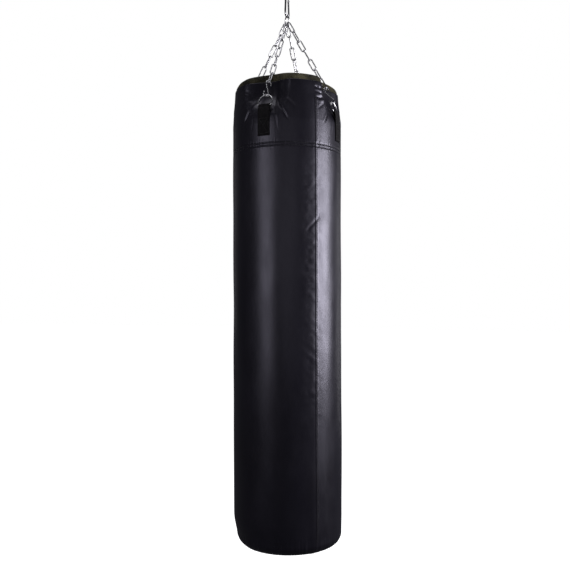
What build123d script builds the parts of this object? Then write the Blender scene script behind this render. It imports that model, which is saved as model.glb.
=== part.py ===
from build123d import *
import math
import os

# A hanging heavy bag on four chains, in millimetres. The origin is on the ceiling face, on the bag's
# axis, and +Z is up. The front of the bag faces -Y.

# Bag
BAG_DIAMETER = 356.0
BAG_LENGTH = 1500.0
RIM_DROP = 349.0  # from the ceiling face down to the rim
WALL = 2.5  # cover's leather with its backing
CORNER = 30.0  # bottom edge's round
CREST_RADIUS = 150.0  # top edge of the bag
SHOULDER_RADIUS = 167.0
SHOULDER_DROP = 14.0
UPPER_RADIUS = 172.0  # half way down the drawn-in top
UPPER_DROP = 62.0
FULL_DROP = 146.0  # where the bag reaches its full radius
LID_RADIUS = 156.0
LID_DEPTH = 20.0
LINING_END = 1425.0  # foam's and filling's straight part, below the rim
FILLING_END_RADIUS = 138.0
CORE_RADIUS = 60.0
CORE_SHARE = 0.72  # sand core's length against the bag's
BAND_THICK = 1.5
BAND_LENGTH = 226.0  # from the rim down to the band's stitched edge
FOAM = 12.0  # lining's thickness
GAP = 0.3  # between separate pieces

# Strap and D-ring
STRAP_WIDTH = 40.0
STRAP_THICK = 2.5
STRAP_DROP = 199.0  # strap's lower end below the rim
BAR_RADIUS = 171.0  # D-ring's bar, from the bag's axis
BAR_DROP = 103.0  # D-ring's bar below the rim
D_WIRE = 2.5  # wires are given by their radius
D_HALF_WIDTH = 24.0
D_SIDE = 11.0
D_TILT = 18.0  # degrees from upright, towards the axis
D_BEND = 4.0  # at the ends of the bar

# Hollow behind each strap's hardware: (radius, drop) down its back
POCKET_BACK = [(165.0, BAR_DROP + 2.0), (146.0, 80.0), (124.0, 26.0), (96.0, -12.0)]
POCKET_TOP = -12.0
POCKET_WIDTH = 68.0
POCKET_LOW = BAR_DROP + 31.0

# S-hook
S_WIRE = 2.5
S_LOOP = 9.5  # loop's centreline radius
S_HALF_PITCH = 20.5  # from the middle to each loop's centre
S_MOUTH = -20.0  # degrees, where the wire ends

# Chain
LINKS = 7
LINK_WIRE = 2.0
LINK_LENGTH = 42.45  # centreline, end to end
LINK_ROUND = 6.8  # centreline radius of each end
LEG_RADIUS = 138.3  # lowest link's lower wire, from the bag's axis
LEG_DROP = 24.8  # and below the rim

# Ring that gathers the chains
RING_WIRE = 2.0
RING_RADIUS = 17.0
RING_TURN = -45.0  # degrees about +Z
SEAT_RADIUS = 11.2  # first links' upper wires, from the ring's centre

# Snap hook
HOOK_WIRE = 3.0
HOOK_TOP_RADIUS = 10.0
HOOK_LOW_RADIUS = 14.0
HOOK_CENTRES = 50.0  # between the two bends' centres
HINGE_DROP = 9.0  # gate's rivet below the top bend's centre
LUG_RISE = 5.5  # wire's end above the rivet
TONGUE = 2.4  # flat that the gate's fork straddles
TONGUE_WIDTH = 4.4
TONGUE_HEIGHT = 9.0
NOSE_RISE = 0.5  # nose above the low bend's centre
NOSE_BLOCK = (3.2, 1.8, 4.0)
GATE_WIRE = 2.9
GATE_PIN = 1.2
GATE_BORE = 1.7
BORE_START = 14.0  # spring's bore, up from the gate's foot
BORE_LENGTH = 16.0
SPRING_RADIUS = 1.15
SPRING_WIRE = 0.3
SPRING_PITCH = 1.6
SPRING_LENGTH = 14.0
RIVET_HEAD = 2.0

# Swivel eye and its stud
STUD_RADIUS = 5.0
STUD_LENGTH = 35.0
COLLAR_RADIUS = 11.0
COLLAR = 6.0
SHANK_RADIUS = 4.0
SWIVEL_FIT = 0.06
BOSS_HEIGHT = 15.4
RIVET_RADIUS = 7.0
RIVET = 4.0
EYE_WIRE = 4.0
EYE_RADIUS = 16.0
EYE_DROP = 35.0

# Each leg: bearing about +Z, seat on the ring, first link's roll, roll per link, S-hook's turn, in degrees
LEGS = {
    "front": (-90.0, 12.0, 140.0, 72.0, 150.0),
    "right": (0.0, 38.0, 40.0, 104.0, 40.0),
    "back": (90.0, -12.0, 140.0, 106.0, -40.0),
    "left": (180.0, -38.0, 40.0, 92.0, -40.0),
}

# Heights that follow
BAG_RADIUS = BAG_DIAMETER / 2
RIM_Z = -RIM_DROP
EYE_LOW_Z = -EYE_DROP - EYE_RADIUS
HOOK_TOP_Z = EYE_LOW_Z + EYE_WIRE + HOOK_WIRE + GAP
HOOK_HIGH_CENTRE_Z = HOOK_TOP_Z - HOOK_TOP_RADIUS
HOOK_LOW_CENTRE_Z = HOOK_HIGH_CENTRE_Z - HOOK_CENTRES
HOOK_LOW_Z = HOOK_LOW_CENTRE_Z - HOOK_LOW_RADIUS
RING_CENTRE_Z = HOOK_LOW_Z + HOOK_WIRE + RING_WIRE + 2 * GAP - RING_RADIUS
UP = Vector(0, 0, 1)


def save(shape, name):
    """Writes one named sub-part."""
    shape.label = name
    export_step(shape, f"parts/{name}.step")


def outward(bearing):
    """Horizontal unit vector from the bag's axis."""
    a = math.radians(bearing)
    return Vector(math.cos(a), math.sin(a), 0)


def at(bearing, radius, drop):
    """Point at a radius and a drop below the rim."""
    return outward(bearing) * radius + UP * (RIM_Z - drop)


def wire(path, radius):
    """Round wire along a path."""
    start = path @ 0
    section = Plane(start, z_dir=path % 0) * Circle(radius)
    return sweep(section, path=path)


def ring_solid(centre, side, up, radius, thick):
    """Closed ring in the plane of two unit vectors."""
    plane = Plane(centre, x_dir=side, z_dir=side.cross(up))
    return plane * Torus(radius, thick)


# ---- hanging fitting ----


def anchor_stud():
    """Threaded stud with a collar, and a shank and rivet head that the eye turns on."""
    shape = Pos(0, 0, STUD_LENGTH / 2) * Cylinder(STUD_RADIUS, STUD_LENGTH)
    shape += extrude(Plane.XY * RegularPolygon(COLLAR_RADIUS, 6), -COLLAR)
    depth = BOSS_HEIGHT + 2 * GAP
    shape += Pos(0, 0, -COLLAR - depth / 2) * Cylinder(SHANK_RADIUS, depth)
    shape += Pos(0, 0, -COLLAR - depth - RIVET / 2) * Cylinder(RIVET_RADIUS, RIVET)
    return chamfer(shape.faces().sort_by(Axis.Z)[-1].edges(), 1.0)


def swivel_eye():
    """Eye below a bored boss."""
    top = -COLLAR - GAP
    boss = Pos(0, 0, top - BOSS_HEIGHT / 2) * Cylinder(COLLAR_RADIUS, BOSS_HEIGHT)
    boss = fillet(boss.edges().filter_by(GeomType.CIRCLE).sort_by(Axis.Z)[-1:], 1.5)
    eye = ring_solid(Vector(0, 0, -EYE_DROP), Vector(1, 0, 0), UP, EYE_RADIUS, EYE_WIRE)
    shape = boss + eye
    shape -= Pos(0, 0, top - BOSS_HEIGHT / 2) * Cylinder(SHANK_RADIUS + SWIVEL_FIT, BOSS_HEIGHT * 2)
    pocket = RIVET + 3 * GAP
    shape -= Pos(0, 0, top - BOSS_HEIGHT - pocket / 2) * Cylinder(RIVET_RADIUS + 2 * GAP, pocket)
    return shape


def hook_side(z, sign):
    """Y of the straight side of the hook at a height."""
    lean = math.asin((HOOK_LOW_RADIUS - HOOK_TOP_RADIUS) / HOOK_CENTRES)
    high_y = HOOK_TOP_RADIUS * math.cos(lean)
    high_z = HOOK_HIGH_CENTRE_Z + HOOK_TOP_RADIUS * math.sin(lean)
    return sign * (high_y + (high_z - z) * math.tan(lean))


HINGE_Z = HOOK_HIGH_CENTRE_Z - HINGE_DROP
HINGE_Y = hook_side(HINGE_Z, 1)
NOSE_Z = HOOK_LOW_CENTRE_Z + NOSE_RISE
GATE_FOOT = Vector(0, HOOK_LOW_RADIUS, NOSE_Z + 0.9)
GATE_HEAD = Vector(0, HINGE_Y, HINGE_Z)
GATE_AXIS = (GATE_HEAD - GATE_FOOT).normalized()
CROSSWAYS = Rot(0, 90, 0)


def arc_point(centre_z, radius, degrees):
    """Point on one of the hook's bends."""
    a = math.radians(degrees)
    return Vector(0, radius * math.cos(a), centre_z + radius * math.sin(a))


def hook_body():
    """Pear-shaped wire hook, open on +Y, with a flat tongue for the gate."""
    lean = math.degrees(math.asin((HOOK_LOW_RADIUS - HOOK_TOP_RADIUS) / HOOK_CENTRES))
    nose = arc_point(HOOK_LOW_CENTRE_Z, HOOK_LOW_RADIUS, 2)
    low = arc_point(HOOK_LOW_CENTRE_Z, HOOK_LOW_RADIUS, -90)
    low_end = arc_point(HOOK_LOW_CENTRE_Z, HOOK_LOW_RADIUS, 180 - lean)
    high_start = arc_point(HOOK_HIGH_CENTRE_Z, HOOK_TOP_RADIUS, 180 - lean)
    high = arc_point(HOOK_HIGH_CENTRE_Z, HOOK_TOP_RADIUS, 90)
    high_end = arc_point(HOOK_HIGH_CENTRE_Z, HOOK_TOP_RADIUS, lean)
    lug = Vector(0, hook_side(HINGE_Z + LUG_RISE, 1), HINGE_Z + LUG_RISE)
    path = Wire(
        [
            Edge.make_three_point_arc(nose, low, low_end),
            Edge.make_line(low_end, high_start),
            Edge.make_three_point_arc(high_start, high, high_end),
            Edge.make_line(high_end, lug),
        ]
    )
    shape = wire(path, HOOK_WIRE)
    shape += Pos(0, HINGE_Y, HINGE_Z + 2.5) * Box(TONGUE, TONGUE_WIDTH, TONGUE_HEIGHT)
    shape += Pos(GATE_HEAD) * CROSSWAYS * Cylinder(TONGUE_WIDTH / 2, TONGUE)
    shape += Pos(0, HOOK_LOW_RADIUS + 1.4, NOSE_Z + 1.6) * Box(*NOSE_BLOCK)
    shape -= Pos(GATE_HEAD) * CROSSWAYS * Cylinder(GATE_PIN, 4 * HOOK_WIRE)
    return shape


def hook_gate():
    """Round gate, forked over the tongue at the top and notched for the nose at the bottom."""
    length = HINGE_Z - NOSE_Z + 1.2
    shape = Plane(GATE_FOOT, z_dir=GATE_AXIS) * Pos(0, 0, length / 2) * Cylinder(GATE_WIRE, length)
    shape += Pos(GATE_HEAD) * CROSSWAYS * Cylinder(GATE_WIRE, 2 * GATE_WIRE)
    shape -= Pos(0, HINGE_Y, HINGE_Z + 1.0) * Box(TONGUE + 2 * GAP, 4 * GATE_WIRE, TONGUE_HEIGHT + 2.0)
    shape -= Pos(GATE_HEAD) * CROSSWAYS * Cylinder(GATE_PIN + SWIVEL_FIT, 4 * GATE_WIRE)
    width, _, height = NOSE_BLOCK
    notch = Box(width + 2 * GAP, 4.6, height + 0.4 + 2 * GAP)
    shape -= Pos(0, HOOK_LOW_RADIUS + 2.4, NOSE_Z + 1.8) * notch
    bore = Plane(GATE_FOOT + GATE_AXIS * BORE_START, z_dir=GATE_AXIS)
    return shape - bore * Pos(0, 0, BORE_LENGTH / 2) * Cylinder(GATE_BORE, BORE_LENGTH)


def gate_spring():
    """Coil spring in the gate's bore."""
    plane = Plane(GATE_FOOT + GATE_AXIS * (BORE_START + 1.0), z_dir=GATE_AXIS)
    helix = plane * Helix(pitch=SPRING_PITCH, height=SPRING_LENGTH, radius=SPRING_RADIUS)
    section = Plane(helix @ 0, z_dir=helix % 0) * Circle(SPRING_WIRE)
    return sweep(section, path=helix)


def gate_rivet():
    """Pin through the tongue and both cheeks of the gate."""
    turned = Pos(GATE_HEAD) * CROSSWAYS
    shape = turned * Cylinder(GATE_PIN - GAP / 10, 2 * GATE_WIRE + 1.0)
    for side in (-1, 1):
        shape += turned * Pos(0, 0, side * (GATE_WIRE + 0.6)) * Cylinder(RIVET_HEAD, 0.6)
    return shape


# ---- ring and chains ----

RING_SIDE = outward(RING_TURN)
RING_CENTRE = UP * RING_CENTRE_Z


def chain_ring():
    """Ring that hangs on the hook and gathers the four chains."""
    return ring_solid(RING_CENTRE, RING_SIDE, UP, RING_RADIUS, RING_WIRE)


def link_solid(centre, along, side):
    """Long chain link, straight-sided with round ends."""
    plane = Plane(centre, x_dir=along, z_dir=along.cross(side))
    half = LINK_LENGTH / 2 - LINK_ROUND
    right = plane.from_local_coords(Vector(half, LINK_ROUND, 0))
    right_low = plane.from_local_coords(Vector(half, -LINK_ROUND, 0))
    left = plane.from_local_coords(Vector(-half, LINK_ROUND, 0))
    left_low = plane.from_local_coords(Vector(-half, -LINK_ROUND, 0))
    tip = plane.from_local_coords(Vector(half + LINK_ROUND, 0, 0))
    tail = plane.from_local_coords(Vector(-half - LINK_ROUND, 0, 0))
    path = Wire(
        [
            Edge.make_line(left, right),
            Edge.make_three_point_arc(right, tip, right_low),
            Edge.make_line(right_low, left_low),
            Edge.make_three_point_arc(left_low, tail, left),
        ]
    )
    return wire(path, LINK_WIRE)


def chain_links(bearing, seat, roll, step):
    """Links of one leg, from the ring down to the S-hook."""
    a = math.radians(seat)
    start = RING_CENTRE + (RING_SIDE * math.sin(a) - UP * math.cos(a)) * SEAT_RADIUS
    end = at(bearing, LEG_RADIUS, LEG_DROP)
    along = (end - start).normalized()
    pitch = ((end - start).length - LINK_LENGTH) / (LINKS - 1)
    tangent = outward(bearing + 90)
    side = (tangent - along * tangent.dot(along)).normalized()
    cross = along.cross(side)
    for i in range(LINKS):
        r = math.radians(roll + i * step)
        turned = side * math.cos(r) + cross * math.sin(r)
        yield link_solid(start + along * (LINK_LENGTH / 2 + i * pitch), along, turned)


D_HEIGHT = D_SIDE + D_HALF_WIDTH


def d_ring_frame(bearing):
    """Middle of the bar, direction along it and direction up the D-ring."""
    bar = at(bearing, BAR_RADIUS, BAR_DROP)
    a = math.radians(D_TILT)
    return bar, outward(bearing + 90), UP * math.cos(a) - outward(bearing) * math.sin(a)


def d_ring(bearing):
    """D-ring: straight bar, two short sides and a half circle."""
    bar, along, up = d_ring_frame(bearing)
    w, s = D_HALF_WIDTH, D_SIDE
    corner = D_BEND
    bend = corner * (1 - math.sqrt(0.5))

    def point(x, y):
        return bar + along * x + up * y

    path = Wire(
        [
            Edge.make_line(point(-w + corner, 0), point(w - corner, 0)),
            Edge.make_three_point_arc(point(w - corner, 0), point(w - bend, bend), point(w, corner)),
            Edge.make_line(point(w, corner), point(w, s)),
            Edge.make_three_point_arc(point(w, s), point(0, s + w), point(-w, s)),
            Edge.make_line(point(-w, s), point(-w, corner)),
            Edge.make_three_point_arc(point(-w, corner), point(-w + bend, bend), point(-w + corner, 0)),
        ]
    )
    return wire(path, D_WIRE)


def s_hook(bearing, turn):
    """S-hook between the last link and the D-ring."""
    bar, tangent, up = d_ring_frame(bearing)
    low = bar + up * D_HEIGHT
    high = at(bearing, LEG_RADIUS, LEG_DROP)
    along = (high - low).normalized()
    inward = tangent.cross(along)
    if inward.dot(outward(bearing)) < 0:
        inward = inward * -1
    t = math.radians(turn)
    side = inward * math.cos(t) + tangent * math.sin(t)
    middle = low + along * (high - low).length / 2
    lean = math.acos(S_LOOP / S_HALF_PITCH)

    def loop_point(a, sign):
        x = S_LOOP * math.cos(a)
        y = S_HALF_PITCH + S_LOOP * math.sin(a)
        return middle + side * (sign * x) + along * (sign * y)

    first = math.radians(S_MOUTH)
    last = math.radians(270) - lean
    halfway = (first + last) / 2
    path = Wire(
        [
            Edge.make_three_point_arc(loop_point(first, 1), loop_point(halfway, 1), loop_point(last, 1)),
            Edge.make_line(loop_point(last, 1), loop_point(last, -1)),
            Edge.make_three_point_arc(loop_point(last, -1), loop_point(halfway, -1), loop_point(first, -1)),
        ]
    )
    return wire(path, S_WIRE)


def prism(bearing, outline, width):
    """Outline of (radius, drop) points, extruded both ways along the tangent."""
    face = make_face(Polyline([at(bearing, r, d) for r, d in outline], close=True))
    return extrude(face, amount=width / 2, dir=outward(bearing + 90), both=True)


def strap(bearing):
    """Webbing strap that lies on the cover and loops round the D-ring's bar."""
    inner = BAG_RADIUS + GAP
    outer = inner + STRAP_THICK
    turn_radius = D_WIRE + GAP + STRAP_THICK * 0.8
    top = BAR_RADIUS + turn_radius * 0.9
    outline = [
        (inner, STRAP_DROP),
        (inner, BAR_DROP + 32),
        (BAR_RADIUS - turn_radius * 0.2, BAR_DROP + turn_radius * 0.9),
        (top, BAR_DROP + 1.0),
        (outer, BAR_DROP + 28),
        (outer, STRAP_DROP),
    ]
    shape = prism(bearing, outline, STRAP_WIDTH)
    plane = Plane(at(bearing, BAR_RADIUS, BAR_DROP), z_dir=outward(bearing + 90))
    loop = plane * Cylinder(turn_radius, STRAP_WIDTH)
    hole = plane * Cylinder(D_WIRE + GAP, STRAP_WIDTH + 1)
    return shape + loop - hole


# ---- bag ----


def bag_form(inset):
    """Solid of the bag's outline, with a pocket behind each strap's hardware."""
    r = BAG_RADIUS - inset
    low = RIM_Z - BAG_LENGTH + inset
    high = RIM_Z - inset
    bend = CORNER * (1 - math.sqrt(0.5))
    crest = CREST_RADIUS - inset * 0.2
    shoulder = (SHOULDER_RADIUS - inset * 0.8, RIM_Z - SHOULDER_DROP - inset * 0.6)
    upper = (UPPER_RADIUS - inset, RIM_Z - UPPER_DROP)
    side_top = RIM_Z - FULL_DROP

    def p(x, z):
        return Vector(x, 0, z)

    path = Wire(
        [
            Edge.make_line(p(0, low), p(r - CORNER, low)),
            Edge.make_three_point_arc(p(r - CORNER, low), p(r - bend, low + bend), p(r, low + CORNER)),
            Edge.make_line(p(r, low + CORNER), p(r, side_top)),
            Edge.make_three_point_arc(p(r, side_top), p(*upper), p(*shoulder)),
            Edge.make_line(p(*shoulder), p(crest, high)),
            Edge.make_line(p(crest, high), p(0, high)),
            Edge.make_line(p(0, high), p(0, low)),
        ]
    )
    shape = revolve(Face(path), Axis.Z)
    for bearing, *_ in LEGS.values():
        shape -= pocket(bearing, inset)
    return shape


def pocket(bearing, grow):
    """Space behind one D-ring, S-hook and last link, larger by grow."""
    beyond = BAG_RADIUS + 20.0
    outline = [
        (beyond, POCKET_LOW + 3.0 + grow),
        (BAG_RADIUS - grow, POCKET_LOW + grow),
        *((radius - grow, drop) for radius, drop in POCKET_BACK),
        (beyond, POCKET_TOP),
    ]
    return prism(bearing, outline, POCKET_WIDTH + 2 * grow)


def outer_cover():
    """Leather side wall with its rounded bottom edge, open round the lid."""
    shape = bag_form(0) - bag_form(WALL)
    shape -= Pos(0, 0, RIM_Z) * Cylinder(LID_RADIUS, 2 * LID_DEPTH)
    bottom_hole = BAG_RADIUS - CORNER
    shape -= Pos(0, 0, RIM_Z - BAG_LENGTH) * Cylinder(bottom_hole, 3 * WALL)
    return largest(shape)


def largest(shape):
    """The one solid that carries the shape, without crumbs that a cut leaves."""
    return shape.solids().sort_by(SortBy.VOLUME)[-1]


def bottom_panel():
    """Round leather panel sewn to the side wall."""
    radius = BAG_RADIUS - CORNER - GAP
    return Pos(0, 0, RIM_Z - BAG_LENGTH + WALL / 2) * Cylinder(radius, WALL)


def top_lid():
    """Stuffed textile lid that fills the bag's mouth up to the rim."""
    plug = Pos(0, 0, RIM_Z - LID_DEPTH / 2) * Cylinder(LID_RADIUS - GAP, LID_DEPTH)
    return largest(bag_form(0) & plug)


def tube(outer, inner, top_drop, low_drop):
    """Plain tube between two drops below the rim."""
    height = low_drop - top_drop
    middle = Pos(0, 0, RIM_Z - (top_drop + low_drop) / 2)
    return middle * (Cylinder(outer, height) - Cylinder(inner, height + 2))


BAND_OUTER = BAG_RADIUS - WALL - GAP
BAND_INNER = BAND_OUTER - BAND_THICK
FOAM_OUTER = BAND_INNER - GAP
FOAM_INNER = FOAM_OUTER - FOAM
FOAM_TOP = BAR_DROP + 44
FILLING_TOP_RADIUS = 84.0


def filling():
    """Packed textile, drawn in under the straps and at the bottom, and bored for the sand core."""
    radius = FOAM_INNER - GAP
    bore = CORE_RADIUS + GAP
    low = BAG_LENGTH - CORNER
    high = LID_DEPTH + GAP
    outline = [
        (bore, low),
        (FILLING_END_RADIUS, low),
        (radius, LINING_END),
        (radius, FOAM_TOP),
        (FILLING_TOP_RADIUS, high),
        (bore, high),
    ]
    face = make_face(Polyline([Vector(r, 0, RIM_Z - drop) for r, drop in outline], close=True))
    return revolve(face, Axis.Z)


def sand_core():
    """Weighted sleeve in the middle of the filling."""
    height = BAG_LENGTH * CORE_SHARE
    shape = Pos(0, 0, RIM_Z - BAG_LENGTH / 2) * Cylinder(CORE_RADIUS, height)
    return fillet(shape.edges().filter_by(GeomType.CIRCLE), CORE_RADIUS / 5)


def main():
    os.makedirs("parts", exist_ok=True)
    save(anchor_stud(), "anchor_stud")
    save(swivel_eye(), "swivel_eye")
    save(hook_body(), "hook_body")
    save(hook_gate(), "hook_gate")
    save(gate_spring(), "gate_spring")
    save(gate_rivet(), "gate_rivet")
    save(chain_ring(), "chain_ring")
    for name, (bearing, seat, roll, step, turn) in LEGS.items():
        for number, link in enumerate(chain_links(bearing, seat, roll, step), start=1):
            save(link, f"link_{name}_{number}")
        save(s_hook(bearing, turn), f"s_hook_{name}")
        save(d_ring(bearing), f"d_ring_{name}")
        save(strap(bearing), f"strap_{name}")
    save(outer_cover(), "outer_cover")
    save(bottom_panel(), "bottom_panel")
    save(top_lid(), "top_lid")
    save(tube(BAND_OUTER, BAND_INNER, BAR_DROP + 42, BAND_LENGTH), "reinforcing_band")
    save(tube(FOAM_OUTER, FOAM_INNER, FOAM_TOP, LINING_END), "foam_lining")
    save(filling(), "textile_filling")
    save(sand_core(), "sand_core")


main()
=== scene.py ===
"""Looks of a hanging heavy bag on four chains: leather, webbing, chain, light and camera.

Everything is in metres in the CAD's frame: the origin is on the ceiling face, +Z is up, and the
front of the bag faces -Y. A bearing is degrees about +Z, and a drop is measured down from the rim.
"""

import math

import bmesh
import bpy
import numpy as np
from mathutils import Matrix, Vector, noise


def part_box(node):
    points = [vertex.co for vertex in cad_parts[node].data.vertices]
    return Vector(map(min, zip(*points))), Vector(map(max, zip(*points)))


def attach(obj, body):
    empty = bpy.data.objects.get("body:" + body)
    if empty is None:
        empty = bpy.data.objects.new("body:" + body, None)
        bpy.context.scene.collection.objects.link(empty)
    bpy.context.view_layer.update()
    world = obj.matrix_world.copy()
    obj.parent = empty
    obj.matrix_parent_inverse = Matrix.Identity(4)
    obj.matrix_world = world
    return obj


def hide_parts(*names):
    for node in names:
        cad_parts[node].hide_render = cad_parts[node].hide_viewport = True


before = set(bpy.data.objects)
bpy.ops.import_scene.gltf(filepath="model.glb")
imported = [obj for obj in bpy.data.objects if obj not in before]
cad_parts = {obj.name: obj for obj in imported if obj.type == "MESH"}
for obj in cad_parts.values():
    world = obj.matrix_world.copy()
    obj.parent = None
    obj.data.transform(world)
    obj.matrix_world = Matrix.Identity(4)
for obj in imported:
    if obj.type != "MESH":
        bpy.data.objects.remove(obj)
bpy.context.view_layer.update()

MM = 0.001

# The bag's main sizes, from the CAD
COVER_LOW, COVER_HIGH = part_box("outer_cover")
LID_LOW, LID_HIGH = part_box("top_lid")
RIM_Z = LID_HIGH.z
BAG_RADIUS = (COVER_HIGH.x - COVER_LOW.x) / 2
BAG_LENGTH = RIM_Z - COVER_LOW.z
CORNER = 30 * MM
BAG_FOOT_Z = COVER_LOW.z
BEARINGS = {"front": -90.0, "right": 0.0, "back": 90.0, "left": 180.0}

# Straps and their D-rings
STRAP_WIDTH = 40 * MM
STRAP_DROP = 199 * MM
BAR_RADIUS = 171 * MM
BAR_DROP = 103 * MM
WEB = 1.2 * MM  # one layer of webbing
LINK_WIRE = 2 * MM

# Seams
SEAM_BEARING = -37.0
BAND_DROP = 226 * MM
ROW_GAP = 9 * MM
STITCH_PITCH = 5 * MM
LID_MIDDLE = 128.0  # lid's reach away from its drawn-in edge, in mm
LEATHER_EDGE = 25.0  # drop of the leather's top edge, in mm
SLACK_BEARING = -150.0
SWAY_BEARING = 24.0
SWAY = 3.6  # how far the foot hangs off the axis, in mm

# (drop, radius) down the side, between the straps
SIDE_CURVE = [(0, 150), (4, 158), (9, 163.5), (16, 167.5), (32, 170), (62, 173), (100, 176), (146, 178)]
# (drop, radius) down the middle of the hollow behind each strap's hardware
HOLLOW_CURVE = [
    (0, 106),
    (12, 112),
    (26, 116),
    (52, 127),
    (80, 141),
    (104, 160),
    (120, 169),
    (136, 176),
    (156, 178),
]
HOLLOW_END = HOLLOW_CURVE[-1][0]
CREASE_END = 190
# (drop, half width) of that hollow's flat middle
HOLLOW_WIDTH = [(0, 12), (60, 24), (100, 29), (156, 28)]
# (drop, how far its sides take to rise)
HOLLOW_EDGE = [(0, 80), (60, 62), (100, 44), (156, 36)]
HOLLOW_RISE = 11.0  # top edge is drawn up there

# (down to this drop, step) of the cover's rows, from its top edge
COVER_STEPS = [(200, 2.0), (250, 1.0), (700, 4.0), (1410, 6.0), (BAG_LENGTH / MM, 2.5)]
# (drop, lift) of the lid's skirt, tucked inside the leather, up to the lid's edge
LID_SKIRT = [
    (42.0, -7.0),
    (32.0, -5.0),
    (26.0, -2.6),
    (19.0, -1.2),
    (15.0, -0.6),
    (10.0, -0.4),
    (6.0, 0.0),
    (3.0, 0.0),
    (1.0, 0.0),
    (0.0, -1.2),
]
COVER_COLUMNS, LID_COLUMNS, BOTTOM_COLUMNS = 720, 300, 240
WEB_COLUMNS = 41

# Lamps: name, bearing from the camera's, distance, height, width, length, brightness
LAMPS = [
    ("key", 82, 2.6, -0.72, 0.95, 1.65, 20.0),
    ("front", 2, 2.8, -0.50, 2.0, 1.5, 0.6),
    ("spill", 56, 2.6, -0.60, 0.9, 1.3, 1.6),
    ("broad", -44, 2.6, -0.48, 1.4, 2.0, 2.7),
    ("edge_right", 134, 2.6, -0.9, 0.5, 2.0, 1.1),
    ("edge_left", -140, 2.6, -0.6, 0.4, 1.6, 0.3),
    ("back_right", 160, 3.0, -0.8, 0.5, 1.8, 0.9),
    ("back_left", -165, 3.0, -0.8, 0.5, 1.8, 0.9),
]
LAMP_TINT = (0.97, 0.96, 1.0)
FLOOR_Z = -2.3
FLOOR_HALF = 30.0

CAMERA_BEARING = -66.0
CAMERA_DISTANCE = 2.380
CAMERA_Z = -1.0652
CAMERA_LENS = 45.35
CAMERA_SHIFT = (-2 / 570, 18 / 570)


# ---- numbers ----


def curve(points, x):
    """Smooth value at x on the curve through (x, y) points."""
    if x <= points[0][0]:
        return points[0][1]
    if x >= points[-1][0]:
        return points[-1][1]
    i = next(k for k in range(1, len(points)) if x <= points[k][0])
    (x0, y0), (x1, y1) = points[i - 1], points[i]
    chord = (y1 - y0) / (x1 - x0)
    slopes = []
    for k in (i - 1, i):
        if 0 < k < len(points) - 1:
            slopes.append((points[k + 1][1] - points[k - 1][1]) / (points[k + 1][0] - points[k - 1][0]))
        else:
            slopes.append(chord)
    span = x1 - x0
    u = (x - x0) / span
    a = slopes[0] * span - (y1 - y0)
    b = -slopes[1] * span + (y1 - y0)
    return (1 - u) * y0 + u * y1 + u * (1 - u) * ((1 - u) * a + u * b)


def smooth(low, high, x):
    """0 below low, 1 above high, smooth between."""
    u = min(1.0, max(0.0, (x - low) / (high - low)))
    return u * u * (3 - 2 * u)


def bump(x, width):
    """Bell of height 1."""
    return math.exp(-((x / width) ** 2))


def turn(bearing, other):
    """Degrees from other to bearing, -180 to 180."""
    return (bearing - other + 180.0) % 360.0 - 180.0


def outward(bearing):
    """Level unit vector at a bearing."""
    arc = math.radians(bearing)
    return Vector((math.cos(arc), math.sin(arc), 0))


def to_segment(x, y, a, b):
    """Signed distance across the segment a-b, and how far along it, 0 to 1."""
    dx, dy = b[0] - a[0], b[1] - a[1]
    length = math.hypot(dx, dy)
    along = ((x - a[0]) * dx + (y - a[1]) * dy) / length**2
    across = ((x - a[0]) * dy - (y - a[1]) * dx) / length
    return across, along


def field(x, y, seed):
    """Smooth noise in -1 to 1; each seed has its own pattern."""
    return noise.noise(Vector((x, y, seed)))


# ---- the cover's surface, in mm ----

# Creases that run out of each D-ring: (sideways, drop) from, to, depth, width
RING_CREASES = [
    ((35, 76), (69, 141), 2.9, 2.5),
    ((31, 100), (43, 176), 0.8, 3.0),
    ((52, 66), (92, 108), 0.7, 4.0),
]
# Folds across the panel right of the seam, and the like on the other panels: (drop, depth, half height)
RIM_FOLDS = [(43, 2.3, 3.4), (57, 1.2, 2.6), (74, 2.1, 4.4)]
CREASE_LIP = 0.45  # what each crease pushes up beside it, of its depth
LEFT_CREASES = 0.82  # depth of the creases left of a strap, of those right of it
PLAIN_FOLDS = 0.35  # depth of the folds on the panels away from the seam
PLEAT = 3.2
SEAM_RIPPLE = 0.9
# One long crease that crosses the seam: (across, drop) from, to, depth, width
SEAM_CREASE = ((-26, 490), (12, 452), 1.6, 4.0)
ROW_DEPTH = 1.5
ROW_PUCKER = 0.8
FOOT_SLACK = 2.0
CORNER_SLACK = 9.0
GATHER, FINE_GATHER = 1.6, 0.8
LUMP = 1.5


def hollow(bearing, drop):
    """How far the surface is in behind a strap, 0 to 1, with the distance sideways to the nearest strap
    and that strap's bearing."""
    nearest = min(BEARINGS.values(), key=lambda b: abs(turn(bearing, b)))
    sideways = BAG_RADIUS / MM * math.sin(math.radians(turn(bearing, nearest)))
    flat = curve(HOLLOW_WIDTH, drop)
    return 1 - smooth(flat, flat + curve(HOLLOW_EDGE, drop), abs(sideways)), sideways, nearest


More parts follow.
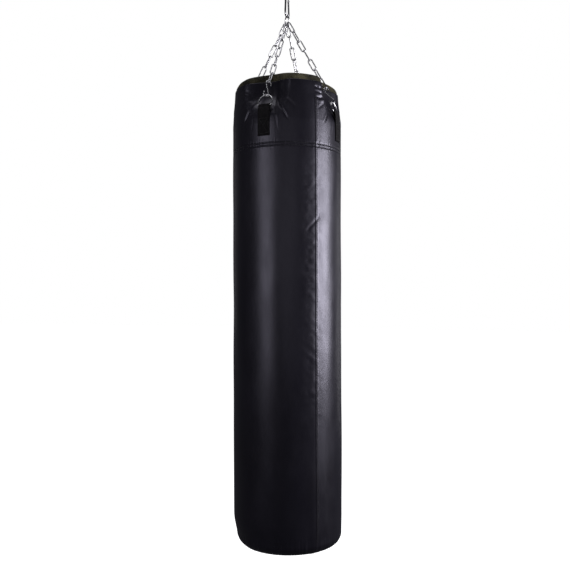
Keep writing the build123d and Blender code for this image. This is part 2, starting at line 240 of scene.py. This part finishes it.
def creases(bearing, drop, sideways, nearest):
    """Wrinkles of the leather, outward in mm."""
    out = 0.0
    side = abs(sideways)
    share = 1.0 if sideways > 0 else LEFT_CREASES
    for start, end, depth, width in RING_CREASES:
        across, along = to_segment(side + 2 * field(drop / 25, nearest, 3), drop, start, end)
        fade = smooth(-0.25, 0.15, along) * (1 - smooth(0.8, 1.25, along))
        out -= share * depth * fade * bump(across, width)
        out += share * CREASE_LIP * depth * fade * bump(across - 2.1 * width, 1.7 * width)
    panel = turn(bearing, SEAM_BEARING) % 90.0
    window = smooth(0, 5, panel) * (1 - smooth(16, 27, panel))
    window *= 1.0 if abs(turn(bearing, SEAM_BEARING)) < 45 else PLAIN_FOLDS
    for at, depth, half in RIM_FOLDS:
        wave = at + 7.0 * field(bearing / 11, at, 5) + panel * 0.25
        strength = depth * (1.0 + 0.8 * field(bearing / 7, at, 6))
        out -= window * strength * (bump(drop - wave, half) - 0.4 * bump(drop - wave - 2 * half, 1.4 * half))
    arc = math.radians(bearing)
    pleat = field(3.6 * math.cos(arc), 3.6 * math.sin(arc), 11 + drop / 130)
    out += PLEAT * pleat * math.exp(-drop / 55) * smooth(2, 14, drop)
    return out


def seam_relief(bearing, drop):
    """The side seam: a lapped edge that the panels draw up to, with soft ripples beside it."""
    across = math.radians(turn(bearing, SEAM_BEARING)) * BAG_RADIUS / MM
    out = 1.5 * bump(across, 17.0) if across > 0 else 1.1 * bump(across, 20.0)
    if across > 0:
        out += 0.5 * (1 - smooth(9, 12, across))
    ripple = field(drop / 17, across / 26, 21) + 0.6 * field(drop / 7, across / 16, 22)
    reach = bump(across + 12, 30.0) * smooth(240, 330, drop) * (1 - smooth(900, 1250, drop))
    out += SEAM_RIPPLE * ripple * reach
    start, end, depth, width = SEAM_CREASE
    crease, along = to_segment(across, drop, start, end)
    out -= depth * bump(crease, width) * smooth(-0.2, 0.2, along) * (1 - smooth(0.8, 1.2, along))
    return out * smooth(60, 84, drop)


def band_relief(bearing, drop):
    """Two sewn rows that pull the leather in and pucker it."""
    out = 0.0
    middle = BAND_DROP / MM
    for row in (-0.5, 0.5):
        offset = drop - middle - row * ROW_GAP / MM
        out -= ROW_DEPTH * bump(offset, 2.2)
    near = bump(drop - middle, 15.0)
    out += ROW_PUCKER * near * field(bearing * 0.7, drop / 30, 31)
    return out


def bottom_relief(bearing, drop):
    """Gathers just above the bottom seam, and a corner that has sagged in on the left."""
    arc = math.radians(bearing)
    slack = FOOT_SLACK + CORNER_SLACK * bump(turn(bearing, SLACK_BEARING), 52.0)
    wave = field(9 * math.cos(arc), 9 * math.sin(arc), 41)
    fine = field(26 * math.cos(arc), 26 * math.sin(arc), 42)
    gathers = (GATHER * wave + FINE_GATHER * fine) * smooth(1420, 1490, drop)
    return gathers - slack * smooth(1405, 1485, drop)


def sway(drop):
    """Where the bag's middle hangs at a drop, off the CAD's axis."""
    return outward(SWAY_BEARING) * (SWAY * MM * (drop / 1500) ** 2)


def skin(bearing, drop, lift=0.0):
    """Point of the leather at a bearing and drop, in mm below the rim, in the frame's metres."""
    side_end = BAG_LENGTH / MM - CORNER / MM
    height = min(drop, side_end)
    radius = curve(SIDE_CURVE, height)
    inside, sideways, nearest = hollow(bearing, drop)
    arc = math.radians(bearing)
    round_turn = math.radians(max(0.0, drop - side_end) / (CORNER / MM) * 90.0)
    if drop < HOLLOW_END:
        radius += (curve(HOLLOW_CURVE, drop) - radius) * inside
    if drop < CREASE_END:
        radius += creases(bearing, drop, sideways, nearest) * (1 - 0.75 * inside) * smooth(0, 12, drop)
    radius += seam_relief(bearing, drop) + band_relief(bearing, drop) + bottom_relief(bearing, drop)
    lumps = field(2.2 * math.cos(arc) + 5, 2.2 * math.sin(arc), drop / 210)
    radius += LUMP * lumps * smooth(150, 260, drop)
    round_in = (1 - math.cos(round_turn)) * CORNER / MM
    down = height + math.sin(round_turn) * CORNER / MM
    radius += lift * math.cos(round_turn) - round_in
    down -= HOLLOW_RISE * inside * (1 - smooth(0, 75, drop))
    flat = outward(bearing) * radius * MM
    return flat + Vector((0, 0, RIM_Z - (down + lift * math.sin(round_turn)) * MM)) + sway(down)


# ---- mesh making ----


def mesh_piece(name, points, faces, body, material):
    """New smooth-shaded mesh, its faces turned outward, that rides on a body."""
    mesh = bpy.data.meshes.new(name)
    mesh.from_pydata([tuple(p) for p in points], [], faces)
    mesh.validate()
    shell = bmesh.new()
    shell.from_mesh(mesh)
    bmesh.ops.recalc_face_normals(shell, faces=shell.faces)
    shell.to_mesh(mesh)
    shell.free()
    mesh.polygons.foreach_set("use_smooth", [True] * len(mesh.polygons))
    mesh.materials.append(material)
    piece = bpy.data.objects.new(name, mesh)
    bpy.context.scene.collection.objects.link(piece)
    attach(piece, body)
    return piece


def grid_faces(rows, columns, closed=True, start=0):
    """Quads of a grid of points, row by row."""
    faces = []
    last = columns if closed else columns - 1
    for i in range(rows - 1):
        for j in range(last):
            k = (j + 1) % columns
            a, b = start + i * columns, start + (i + 1) * columns
            faces.append((a + j, b + j, b + k, a + k))
    return faces


# (place along, girth, rise) of a stitch's rings: its ends dip into the leather
STITCH_RINGS = [(-0.5, 0.35, -0.6), (-0.42, 0.9, 0.1), (0.0, 1.0, 0.55), (0.42, 0.9, 0.1), (0.5, 0.35, -0.6)]


def thread(points, faces, centre, along, normal, length, thick):
    """Adds one stitch: a short bowed length of thread."""
    side = along.cross(normal).normalized()
    base = len(points)
    for place, girth, rise in STITCH_RINGS:
        middle = centre + along * (place * length) + normal * (rise * thick)
        for k in range(6):
            turned = math.radians(60 * k)
            points.append(middle + (side * math.cos(turned) + normal * math.sin(turned)) * (girth * thick))
    faces.extend(grid_faces(len(STITCH_RINGS), 6, True, base))
    faces.append(tuple(base + k for k in range(6)))
    faces.append(tuple(base + 6 * (len(STITCH_RINGS) - 1) + k for k in reversed(range(6))))


def stitch_row(name, path, body, material, closed=False, pitch=STITCH_PITCH, thick=0.45 * MM):
    """Stitches along a path of (point, normal)."""
    points, faces = [], []
    count = len(path)
    spare = pitch / 2
    for i in range(count if closed else count - 1):
        (p, n), (q, _) = path[i], path[(i + 1) % count]
        step = (q - p).length
        if step < 1e-9:
            continue
        along = (q - p) / step
        while spare < step:
            thread(points, faces, p + along * spare, along, n, pitch * 0.66, thick)
            spare += pitch
        spare -= step
    return mesh_piece(name, points, faces, body, material)


# ---- materials ----


class Paint:
    """Builds one node material."""

    def __init__(self, name, base, roughness, **constants):
        self.material = bpy.data.materials.new(name)
        self.material.use_nodes = True
        self.tree = self.material.node_tree
        self.shader = self.tree.nodes["Principled BSDF"]
        self.shader.inputs["Base Color"].default_value = (*base, 1)
        self.shader.inputs["Roughness"].default_value = roughness
        for key, value in constants.items():
            self.shader.inputs[key.replace("_", " ")].default_value = value
        self.place = self.node("ShaderNodeTexCoord").outputs["Object"]
        self.normal = None

    def node(self, kind, **values):
        """Adds a node."""
        made = self.tree.nodes.new(kind)
        for key, value in values.items():
            setattr(made, key, value)
        return made

    def join(self, a, b):
        """Links an output to an input."""
        self.tree.links.new(a, b)

    def stretched(self, scale):
        """Object coordinates, scaled per axis."""
        mapping = self.node("ShaderNodeMapping")
        mapping.inputs["Scale"].default_value = scale
        self.join(self.place, mapping.inputs["Vector"])
        return mapping.outputs["Vector"]

    def noise(self, scale, detail=4.0, roughness=0.55, stretch=(1, 1, 1)):
        """Soft noise, 0 to 1."""
        made = self.node("ShaderNodeTexNoise")
        made.inputs["Scale"].default_value = scale
        made.inputs["Detail"].default_value = detail
        made.inputs["Roughness"].default_value = roughness
        self.join(self.stretched(stretch), made.inputs["Vector"])
        return made.outputs["Fac"]

    def cells(self, scale):
        """Grain of small cells."""
        made = self.node("ShaderNodeTexVoronoi", feature="DISTANCE_TO_EDGE")
        made.inputs["Scale"].default_value = scale
        self.join(self.stretched((1, 1, 1)), made.inputs["Vector"])
        return made.outputs["Distance"]

    def waves(self, scale, direction, distortion=0.0):
        """Parallel bands, such as a weave's."""
        made = self.node("ShaderNodeTexWave", bands_direction=direction)
        made.inputs["Scale"].default_value = scale
        made.inputs["Distortion"].default_value = distortion
        self.join(self.place, made.inputs["Vector"])
        return made.outputs["Fac"]

    def ramp(self, value, stops):
        """Colour of a value, from (position, colour) stops."""
        made = self.node("ShaderNodeValToRGB")
        ramp = made.color_ramp
        for i, (position, colour) in enumerate(stops):
            element = ramp.elements[i] if i < 2 else ramp.elements.new(position)
            element.position = position
            element.color = (*colour, 1)
        self.join(value, made.inputs["Fac"])
        return made.outputs["Color"]

    def levels(self, value, low, high, start=0.0, end=1.0):
        """Moves start-to-end onto low-to-high."""
        made = self.node("ShaderNodeMapRange")
        made.inputs["From Min"].default_value = start
        made.inputs["From Max"].default_value = end
        made.inputs["To Min"].default_value = low
        made.inputs["To Max"].default_value = high
        self.join(value, made.inputs["Value"])
        return made.outputs["Result"]

    def colour(self, value, stops):
        """Varies the base colour with a value."""
        self.join(self.ramp(value, stops), self.shader.inputs["Base Color"])

    def rough(self, value, low, high, start=0.25, end=0.75):
        """Varies the roughness with a value."""
        self.join(self.levels(value, low, high, start, end), self.shader.inputs["Roughness"])

    def scuffs(self, value, z, reach, tone):
        """Worn specks that lighten the colour within reach above a height."""
        split = self.node("ShaderNodeSeparateXYZ")
        self.join(self.place, split.inputs["Vector"])
        near = self.levels(split.outputs["Z"], 1.0, 0.0, z, z + reach)
        mask = self.node("ShaderNodeMath", operation="MULTIPLY")
        self.join(near, mask.inputs[0])
        self.join(self.levels(value, 0.0, 0.8, 0.60, 0.72), mask.inputs[1])
        mixed = self.node("ShaderNodeMix", data_type="RGBA")
        before = self.shader.inputs["Base Color"].links[0].from_socket
        self.join(mask.outputs["Value"], mixed.inputs["Factor"])
        self.join(before, mixed.inputs["A"])
        mixed.inputs["B"].default_value = (*tone, 1)
        self.join(mixed.outputs["Result"], self.shader.inputs["Base Color"])

    def bumps(self, value, strength, distance):
        """Adds relief on top of the relief so far."""
        made = self.node("ShaderNodeBump")
        made.inputs["Strength"].default_value = strength
        made.inputs["Distance"].default_value = distance
        self.join(value, made.inputs["Height"])
        if self.normal is not None:
            self.join(self.normal, made.inputs["Normal"])
        self.normal = made.outputs["Normal"]
        self.join(self.normal, self.shader.inputs["Normal"])


def leather():
    paint = Paint("black_leather", (0.007, 0.0063, 0.0105), 0.34, Specular_Tint=(0.86, 0.83, 1.0, 1.0))
    patches = paint.noise(7.0, 5.0, 0.6, (1, 1, 0.35))
    paint.colour(patches, [(0.3, (0.0042, 0.0037, 0.0062)), (0.7, (0.0095, 0.0087, 0.014))])
    paint.scuffs(paint.noise(75.0, 8.0, 0.75, (1, 1, 0.6)), BAG_FOOT_Z, 0.10, (0.045, 0.043, 0.048))
    paint.rough(paint.noise(23.0, 6.0, 0.62, (1, 1, 0.5)), 0.29, 0.42)
    paint.bumps(paint.noise(60.0, 3.0, 0.5, (1, 1, 0.4)), 0.10, 0.0016)
    paint.bumps(paint.cells(620.0), 0.16, 0.00035)
    paint.bumps(paint.noise(1500.0, 2.0, 0.5), 0.08, 0.0002)
    return paint.material


def webbing():
    paint = Paint("black_webbing", (0.004, 0.0035, 0.0045), 0.85, Specular_IOR_Level=0.2)
    paint.colour(paint.noise(90.0, 5.0), [(0.3, (0.0028, 0.0023, 0.003)), (0.7, (0.0065, 0.0056, 0.007))])
    paint.rough(paint.noise(300.0), 0.72, 0.9)
    paint.bumps(paint.waves(260.0, "Z", 1.2), 0.5, 0.0004)
    paint.bumps(paint.noise(1400.0, 2.0), 0.4, 0.0003)
    return paint.material


def lid_cloth():
    paint = Paint("olive_canvas", (0.045, 0.042, 0.030), 0.9, Specular_IOR_Level=0.25)
    paint.colour(paint.noise(11.0, 8.0, 0.7), [(0.36, (0.012, 0.011, 0.0065)), (0.64, (0.088, 0.080, 0.044))])
    paint.rough(paint.noise(200.0), 0.8, 0.95)
    paint.bumps(paint.waves(180.0, "X", 0.6), 0.35, 0.0005)
    paint.bumps(paint.waves(180.0, "Y", 0.6), 0.35, 0.0005)
    paint.bumps(paint.noise(900.0, 3.0), 0.4, 0.0004)
    return paint.material


def metal(name, base, low, high, wear):
    paint = Paint(name, base, low, Metallic=1.0)
    dull = tuple(c * wear for c in base)
    paint.colour(paint.noise(140.0, 6.0, 0.6), [(0.35, dull), (0.62, base)])
    paint.rough(paint.noise(320.0, 5.0, 0.6), low, high)
    paint.bumps(paint.noise(700.0, 4.0, 0.6), 0.12, 0.0003)
    return paint.material


def thread_paint():
    paint = Paint("black_thread", (0.010, 0.009, 0.011), 0.6, Sheen_Weight=0.2)
    paint.colour(paint.noise(400.0), [(0.3, (0.006, 0.0055, 0.007)), (0.7, (0.018, 0.017, 0.021))])
    paint.rough(paint.noise(900.0), 0.5, 0.75)
    paint.bumps(paint.waves(900.0, "DIAGONAL", 1.0), 0.5, 0.0003)
    return paint.material


def stuffing(name, dark, light, scale, roughness):
    paint = Paint(name, light, roughness)
    paint.colour(paint.noise(scale, 8.0, 0.7), [(0.32, dark), (0.68, light)])
    paint.rough(paint.noise(scale * 3), roughness - 0.08, roughness)
    paint.bumps(paint.noise(scale * 5, 4.0, 0.6), 0.5, 0.001)
    return paint.material


LEATHER = leather()
WEBBING = webbing()
CANVAS = lid_cloth()
THREAD = thread_paint()
CHAIN_STEEL = metal("zinc_plated_chain", (0.66, 0.66, 0.68), 0.16, 0.34, 0.62)
HOOK_STEEL = metal("polished_hook", (0.62, 0.62, 0.64), 0.10, 0.24, 0.72)
FITTING_STEEL = metal("plated_fitting", (0.52, 0.52, 0.54), 0.20, 0.40, 0.6)
SPRING_STEEL = metal("spring_wire", (0.45, 0.45, 0.48), 0.22, 0.38, 0.7)
FOAM = stuffing("grey_foam", (0.16, 0.16, 0.17), (0.27, 0.27, 0.28), 120.0, 0.95)
FILLING = stuffing("textile_scrap", (0.10, 0.09, 0.10), (0.34, 0.31, 0.29), 45.0, 0.96)
SAND = stuffing("sand_sleeve", (0.28, 0.22, 0.15), (0.47, 0.39, 0.28), 260.0, 0.94)

NODE_PAINTS = {
    "anchor": FITTING_STEEL,
    "swivel": FITTING_STEEL,
    "hook_body": HOOK_STEEL,
    "hook_gate": HOOK_STEEL,
    "gate_rivet": FITTING_STEEL,
    "gate_spring": SPRING_STEEL,
    "foam": FOAM,
    "textile": FILLING,
    "sand": SAND,
    "reinforcing": LEATHER,
}


def paint_nodes():
    """Gives every CAD node its material; what NODE_PAINTS doesn't name is chain steel."""
    for name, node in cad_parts.items():
        paint = next((m for start, m in NODE_PAINTS.items() if name.startswith(start)), CHAIN_STEEL)
        node.data.materials.clear()
        node.data.materials.append(paint)


# ---- the soft pieces ----


def steps(low, high, step):
    """Even steps from low up to high, without high."""
    count = max(1, round((high - low) / step))
    return [low + (high - low) * i / count for i in range(count)]


def side_cover():
    """Leather side: the turned-in top edge, the wall, and the rounded bottom."""
    edge = LEATHER_EDGE
    drops = []
    start = edge
    for end, step in COVER_STEPS:
        drops += steps(start, end, step)
        start = end
    drops.append(start)
    fold = [(edge + 9, -5.0), (edge + 3, -4.2), (edge - 0.6, -2.6), (edge - 1.6, -0.9), (edge - 0.8, 0.7)]
    rows = fold + [(drop, 1.2 * (1 - smooth(edge, edge + 30, drop))) for drop in drops]
    points = []
    for drop, lift in rows:
        for j in range(COVER_COLUMNS):
            points.append(skin(360.0 * j / COVER_COLUMNS, drop, lift))
    faces = grid_faces(len(rows), COVER_COLUMNS)
    cover = mesh_piece("leather_cover", points, faces, "bag", LEATHER)
    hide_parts("outer_cover")


def bottom_cap():
    """Round bottom panel, turned over its seam and slightly pillowed."""
    outer = BAG_RADIUS / MM - CORNER / MM
    low = BAG_LENGTH / MM
    lip = [(1.5, -4.0), (1.8, -1.0), (0.6, 1.2), (-1.8, 1.4), (-5.0, -0.4)]
    rows = [(outer + out, low + down) for out, down in lip]
    rows += [(outer - 5.0 - r, low - 0.4 + 1.8 * smooth(0, 40, r)) for r in steps(6, outer - 16, 7.0)]
    points = []
    for radius, drop in rows:
        for j in range(BOTTOM_COLUMNS):
            bearing = 360.0 * j / BOTTOM_COLUMNS
            arc = math.radians(bearing)
            gather = 0.5 * field(20 * math.cos(arc), 20 * math.sin(arc), 51)
            gather *= smooth(outer - 40, outer - 4, radius)
            flat = outward(bearing) * (radius + gather) * MM
            points.append(flat + Vector((0, 0, RIM_Z - (drop + gather) * MM)) + sway(low))
    faces = grid_faces(len(rows), BOTTOM_COLUMNS)
    faces.append(tuple((len(rows) - 1) * BOTTOM_COLUMNS + j for j in range(BOTTOM_COLUMNS)))
    panel = mesh_piece("leather_bottom", points, faces, "bag", LEATHER)
    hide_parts("bottom_panel")


def canvas_lid():
    """Stuffed canvas lid, gathered under the leather's top edge and hollowed behind each strap."""
    inner = [1.0 - 0.045 * i for i in range(1, 22)]
    points = []
    for drop, lift in LID_SKIRT:
        for j in range(LID_COLUMNS):
            points.append(skin(360.0 * j / LID_COLUMNS, drop, lift))
    rim = points[-LID_COLUMNS:]
    lowest = min(edge.z for edge in rim)
    for s in inner:
        for j in range(LID_COLUMNS):
            arc = 2 * math.pi * j / LID_COLUMNS
            edge = rim[j]
            fold = field(7 * math.cos(arc), 7 * math.sin(arc), 61)
            fold *= smooth(0.15, 0.9, s) * (1 - smooth(0.9, 1.0, s))
            crown = 6.0 * (1 - s**4) - 9.0 * (1 - smooth(0.0, 0.75, s))
            lump = 2.2 * field(edge.x * s * 22, edge.y * s * 22, 62)
            height = (crown + 3.4 * fold + lump * (1 - s**6)) * MM
            reach = edge.xy.length * s
            round_reach = (LID_MIDDLE * MM * s - reach) * (1 - smooth(0.35, 1.0, s))
            spot = edge.xy.normalized() * (reach + round_reach)
            level = edge.z - (edge.z - lowest) * (1 - smooth(0.3, 1, s))
            points.append(Vector((spot.x, spot.y, level + height)))
    rows = len(LID_SKIRT) + len(inner)
    faces = grid_faces(rows, LID_COLUMNS)
    faces.append(tuple((rows - 1) * LID_COLUMNS + j for j in range(LID_COLUMNS)))
    lid = mesh_piece("canvas_lid", points, faces, "bag", CANVAS)
    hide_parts("top_lid")


def strap_path():
    """(radius, drop) in mm along the middle of the folded strap, from its inner end to its outer end."""
    surface = BAG_RADIUS / MM
    web = WEB / MM
    inner, outer = surface + 0.35 + web / 2, surface + 0.45 + web * 1.5
    bar_r, bar_d = BAR_RADIUS / MM, BAR_DROP / MM
    turn_radius = 2.5 + 0.35 + web / 2
    path = [(inner, STRAP_DROP / MM - 1.0)]
    path += [(inner, d) for d in steps(STRAP_DROP / MM - 6, 140, 6.0)]
    path += [(inner - 1.0, 132), (inner - 3.6, 123), (inner - 7.0, 115), (inner - 9.9, 108)]
    for degrees in range(200, -31, -15):
        a = math.radians(degrees)
        path.append((bar_r + turn_radius * math.cos(a), bar_d - turn_radius * math.sin(a)))
    path += [(outer - 3.4, 111), (outer - 2.0, 117), (outer - 0.7, 125), (outer - 0.1, 133)]
    path += [(outer, d) for d in steps(140, STRAP_DROP / MM, 3.0)] + [(outer, STRAP_DROP / MM)]
    return path


# (sideways, drop) of the crossed box that sews a strap down
BOX_STITCH = [(-15, 146), (15, 146), (15, 192), (-15, 192), (-15, 146), (15, 192), (-15, 192), (15, 146)]


def strap(name, bearing):
    """Ribbed webbing, folded round the D-ring's bar and sewn down with a crossed box."""
    path = strap_path()
    section = [-1 + 2 * i / (WEB_COLUMNS - 1) for i in range(WEB_COLUMNS)]
    half = STRAP_WIDTH / MM / 2
    points = []
    out = outward(bearing)
    side = Vector((-out.y, out.x, 0))

    def place(radius, drop, sideways):
        bend = math.sqrt(max(0.0, (BAG_RADIUS / MM) ** 2 - sideways**2)) - BAG_RADIUS / MM
        fit = smooth(108, 140, drop)
        return out * ((radius + bend * fit) * MM) + side * (sideways * MM) + Vector((0, 0, RIM_Z - drop * MM))

    count = len(path)
    for i, (radius, drop) in enumerate(path):
        before, after = path[max(0, i - 1)], path[min(count - 1, i + 1)]
        along = Vector((after[0] - before[0], after[1] - before[1])).normalized()
        normal = Vector((-along.y, along.x))
        for face in (-1, 1):
            for u in section if face < 0 else reversed(section):
                rib = 0.16 * math.cos(u * math.pi * 11)
                edge = math.sqrt(max(0.0, 1 - abs(u) ** 14))
                thick = face * (WEB / MM / 2 + rib) * (0.25 + 0.75 * edge)
                wander = 0.35 * field(drop / 22, bearing, 71)
                points.append(place(radius + normal.x * thick, drop + normal.y * thick, u * half + wander))
    around = 2 * WEB_COLUMNS
    faces = grid_faces(count, around)
    faces.append(tuple(range(around)))
    faces.append(tuple((count - 1) * around + k for k in reversed(range(around))))
    piece = mesh_piece(f"webbing_{name}", points, faces, "bag", WEBBING)
    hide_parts(f"strap_{name}")
    surface = BAG_RADIUS / MM + 0.45 + 2 * WEB / MM + 0.1
    route = []
    for (s0, d0), (s1, d1) in zip(BOX_STITCH, BOX_STITCH[1:]):
        for k in range(6):
            u = k / 6
            route.append((place(surface, d0 + (d1 - d0) * u, s0 + (s1 - s0) * u), out))
    route.append((place(surface, BOX_STITCH[-1][1], BOX_STITCH[-1][0]), out))
    stitch_row(f"box_stitch_{name}", route, "bag", THREAD, pitch=3.6 * MM, thick=0.32 * MM)


def seams():
    """Sewing on the leather: the double row round the top, the side seam, and the bottom seam."""
    for number, row in enumerate((-0.5, 0.5), start=1):
        drop = BAND_DROP / MM + row * ROW_GAP / MM
        path = [(skin(b, drop, 0.15), outward(b)) for b in range(0, 360, 1)]
        stitch_row(f"band_stitch_{number}", path, "bag", THREAD, closed=True)
    for number, offset in enumerate((1.1, 2.6), start=1):
        bearing = SEAM_BEARING + offset
        path = [(skin(bearing, d, 0.1), outward(bearing)) for d in steps(70, 1470, 5.0)]
        stitch_row(f"side_stitch_{number}", path, "bag", THREAD)
    low = BAG_LENGTH / MM - 6
    down = Vector((0, 0, -1))
    path = [(skin(b, low, 0.2), (outward(b) * 0.4 + down).normalized()) for b in range(0, 360, 2)]
    stitch_row("bottom_stitch", path, "bag", THREAD, closed=True)


# ---- metal details ----


def turned_ring(points, faces, centre, axis, side, profile, count=16):
    """Adds a band round an axis; profile is (along, radius) in mm."""
    cross = axis.cross(side)
    base = len(points)
    for along, radius in profile:
        for k in range(count):
            a = 2 * math.pi * k / count
            around = side * math.cos(a) + cross * math.sin(a)
            points.append(centre + axis * (along * MM) + around * (radius * MM))
    faces.extend(grid_faces(len(profile), count, True, base))


# (along, radius) in mm of a weld's collar on its wire
WELD_PROFILE = [(-2.2, 1.9), (-1.5, 2.1), (-0.7, 2.45), (0.0, 2.3), (0.7, 2.45), (1.5, 2.1), (2.2, 1.9)]


def link_welds():
    """Upset weld on one side of every link, which is found from the link's own mesh."""
    points, faces = [], []
    for name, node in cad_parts.items():
        if not name.startswith("link_"):
            continue
        cloud = np.array([v.co for v in node.data.vertices])
        mean = cloud.mean(0)
        middle = (mean + (cloud.min(0) + cloud.max(0)) / 2) / 2
        axes = np.linalg.svd(cloud - mean, full_matrices=False)[2]
        along, side = Vector(axes[0]), Vector(axes[1])
        reach = max(abs(Vector(v - middle).dot(side)) for v in cloud) - LINK_WIRE
        turned_ring(points, faces, Vector(middle) + side * reach, along, side, WELD_PROFILE)
    mesh_piece("link_welds", points, faces, "bag", CHAIN_STEEL)


def stud_thread():
    """Thread ridge that winds up the stud above the ceiling face."""
    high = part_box("anchor_stud")[1]
    pitch, count, start = 1.5 * MM, 24, 2 * MM
    turns = int((high.z - start - 2 * MM) / pitch)
    section = [(-0.5, 4.9), (-0.12, 5.28), (0.12, 5.28), (0.5, 4.9)]
    points = []
    for i in range(turns * count + 1):
        a = 2 * math.pi * i / count
        rise = start + pitch * i / count
        for up, radius in section:
            points.append(Vector((math.cos(a) * radius * MM, math.sin(a) * radius * MM, rise + up * MM)))
    faces = grid_faces(turns * count + 1, len(section), False)
    mesh_piece("stud_thread", points, faces, "anchor", FITTING_STEEL)


# ---- floor, light and camera ----


def softbox(name, bearing, distance, centre_z, width, height, radiance):
    """Oval light facing the bag's axis, as bright as radiance."""
    light = bpy.data.lights.new(name, "AREA")
    light.shape = "ELLIPSE"
    light.color = LAMP_TINT
    light.size = width
    light.size_y = height
    light.energy = radiance * math.pi * (math.pi / 4 * width * height)
    lamp = bpy.data.objects.new(name, light)
    arc = math.radians(bearing)
    lamp.location = (distance * math.cos(arc), distance * math.sin(arc), centre_z)
    target = Vector((0, 0, centre_z))
    lamp.rotation_euler = (target - lamp.location).to_track_quat("-Z", "Y").to_euler()
    bpy.context.scene.collection.objects.link(lamp)
    return lamp


def backdrop():
    """White behind the bag, and a dim grey world for everything else."""
    world = bpy.data.worlds.new("studio")
    bpy.context.scene.world = world
    world.use_nodes = True
    tree = world.node_tree
    plain = tree.nodes["Background"]
    plain.inputs["Color"].default_value = (0.05, 0.05, 0.055, 1)
    white = tree.nodes.new("ShaderNodeBackground")
    white.inputs["Color"].default_value = (1, 1, 1, 1)
    mix = tree.nodes.new("ShaderNodeMixShader")
    path = tree.nodes.new("ShaderNodeLightPath")
    tree.links.new(path.outputs["Is Camera Ray"], mix.inputs["Fac"])
    tree.links.new(plain.outputs["Background"], mix.inputs[1])
    tree.links.new(white.outputs["Background"], mix.inputs[2])
    tree.links.new(mix.outputs["Shader"], tree.nodes["World Output"].inputs["Surface"])


def pale_floor():
    """White floor that leaves the leather's reflections alone, and is clear from below."""
    mesh = bpy.data.meshes.new("floor")
    signs = [(-1, -1), (1, -1), (1, 1), (-1, 1)]
    mesh.from_pydata([(x * FLOOR_HALF, y * FLOOR_HALF, FLOOR_Z) for x, y in signs], [], [(0, 1, 2, 3)])
    floor = bpy.data.objects.new("floor", mesh)
    bpy.context.scene.collection.objects.link(floor)
    pale = Paint("pale_floor", (0.9, 0.9, 0.9), 0.9)
    pale.shader.inputs["Emission Color"].default_value = (1, 1, 1, 1)
    pale.shader.inputs["Emission Strength"].default_value = 1.0
    see_through = pale.node("ShaderNodeMixShader")
    pale.join(pale.node("ShaderNodeNewGeometry").outputs["Backfacing"], see_through.inputs["Fac"])
    pale.join(pale.shader.outputs["BSDF"], see_through.inputs[1])
    pale.join(pale.node("ShaderNodeBsdfTransparent").outputs["BSDF"], see_through.inputs[2])
    pale.join(see_through.outputs["Shader"], pale.tree.nodes["Material Output"].inputs["Surface"])
    mesh.materials.append(pale.material)
    floor.visible_glossy = False
    floor.visible_diffuse = False


def lamps():
    """Soft strips all round, and one from above."""
    for name, bearing, *rest in LAMPS:
        softbox(name, CAMERA_BEARING + bearing, *rest)
    top = softbox("top", CAMERA_BEARING, 0.01, 1.6, 2.0, 2.0, 1.7)
    top.location = (0, 0, 1.6)
    top.rotation_euler = (0, 0, 0)


def level_camera():
    """Camera level with the middle of the bag; the shift frames the chains."""
    lens = bpy.data.cameras.new("camera")
    lens.lens = CAMERA_LENS
    lens.sensor_width = 36.0
    lens.shift_x, lens.shift_y = CAMERA_SHIFT
    camera = bpy.data.objects.new("camera", lens)
    arc = math.radians(CAMERA_BEARING)
    camera.location = (CAMERA_DISTANCE * math.cos(arc), CAMERA_DISTANCE * math.sin(arc), CAMERA_Z)
    camera.rotation_euler = (math.radians(90), 0, math.radians(CAMERA_BEARING + 90))
    bpy.context.scene.collection.objects.link(camera)
    bpy.context.scene.camera = camera


paint_nodes()
side_cover()
bottom_cap()
canvas_lid()
for strap_name, strap_bearing in BEARINGS.items():
    strap(strap_name, strap_bearing)
seams()
link_welds()
stud_thread()
bpy.context.scene.view_settings.view_transform = "Standard"
backdrop()
pale_floor()
lamps()
level_camera()
